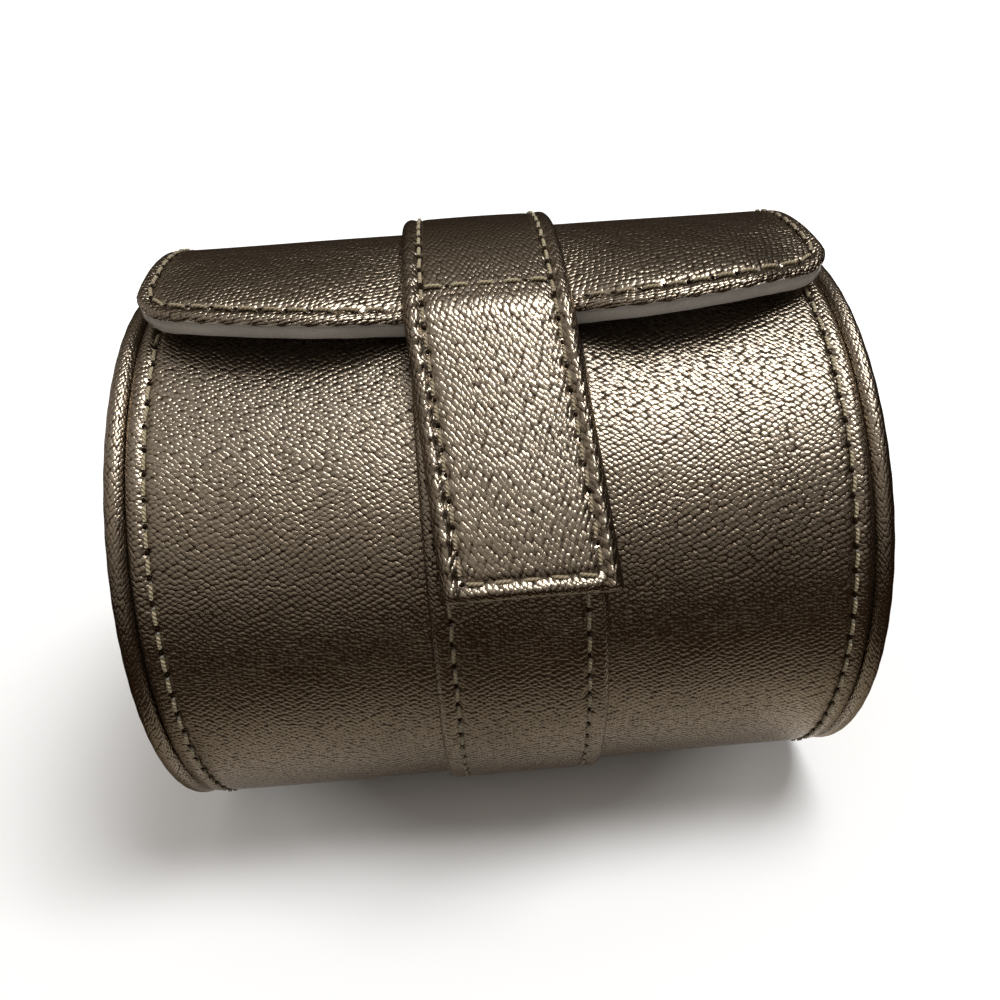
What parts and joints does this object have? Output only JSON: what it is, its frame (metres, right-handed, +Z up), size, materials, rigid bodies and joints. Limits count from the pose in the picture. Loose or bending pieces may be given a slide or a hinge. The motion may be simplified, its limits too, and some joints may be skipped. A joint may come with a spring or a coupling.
{
  "type": "watch travel case",
  "caption": "Small cylindrical watch case lying on its side, with a curved hinged flap, a snap strap over a fixed band and a lift-out pillow.",
  "frame": {"origin": "on the resting surface, at the middle of the flat foot under the tube's band", "axes": "+X along the tube, -Y to the front where the strap snaps, +Z up"},
  "size_m": [0.0928, 0.0808, 0.0832],
  "materials": {
    "metallic_leather": "bronze metallic coated leather, pebble embossed, satin",
    "suede_lining": "light grey brushed microsuede",
    "strap_backing": "plain dark coated leather, matt",
    "greyboard": "pressed grey board",
    "snap_metal": "antique brass plated, satin",
    "pillow_foam": "open cell foam",
    "pillow_velvet": "light grey short velvet"
  },
  "bodies": {
    "case": {"shell_board": "greyboard", "shell_cover": "metallic_leather", "shell_lining": "suede_lining", "left_end_cover": "metallic_leather", "left_end_board": "greyboard", "left_end_plug": "greyboard", "left_end_lining": "suede_lining", "right_end_cover": "metallic_leather", "right_end_board": "greyboard", "right_end_plug": "greyboard", "right_end_lining": "suede_lining", "body_band": "metallic_leather", "hinge_strip": "metallic_leather", "snap_stud": "snap_metal", "snap_post": "snap_metal"},
    "flap": {"flap_cover": "metallic_leather", "flap_board": "greyboard", "flap_lining": "suede_lining", "flap_strap": "metallic_leather"},
    "strap": {"strap_cover": "metallic_leather", "strap_lining": "strap_backing", "snap_socket": "snap_metal", "snap_cap": "snap_metal"},
    "pillow": {"pillow_foam": "pillow_foam", "pillow_cover": "pillow_velvet", "pillow_left_end": "pillow_velvet", "pillow_right_end": "pillow_velvet"}
  },
  "joints": [
    {"name": "flap_hinge", "type": "hinge", "parent": "case", "child": "flap", "pos_m": [0, 0.03924, 0.0384], "axis": [-1, 0, 0], "range_deg": [0, 150]},
    {"name": "strap_fold", "type": "hinge", "parent": "flap", "child": "strap", "pos_m": [0, -0.02312, 0.07536], "axis": [-1, 0, 0], "range_deg": [0, 75]},
    {"name": "pillow_lift", "type": "slide", "parent": "case", "child": "pillow", "axis": [0, 0.4289, 0.9033], "range_m": [0, 0.075]}
  ],
  "couplings": [
    {"joint": "pillow_lift", "follows": "flap_hinge", "m_per_rad": 0.02861}
  ]
}
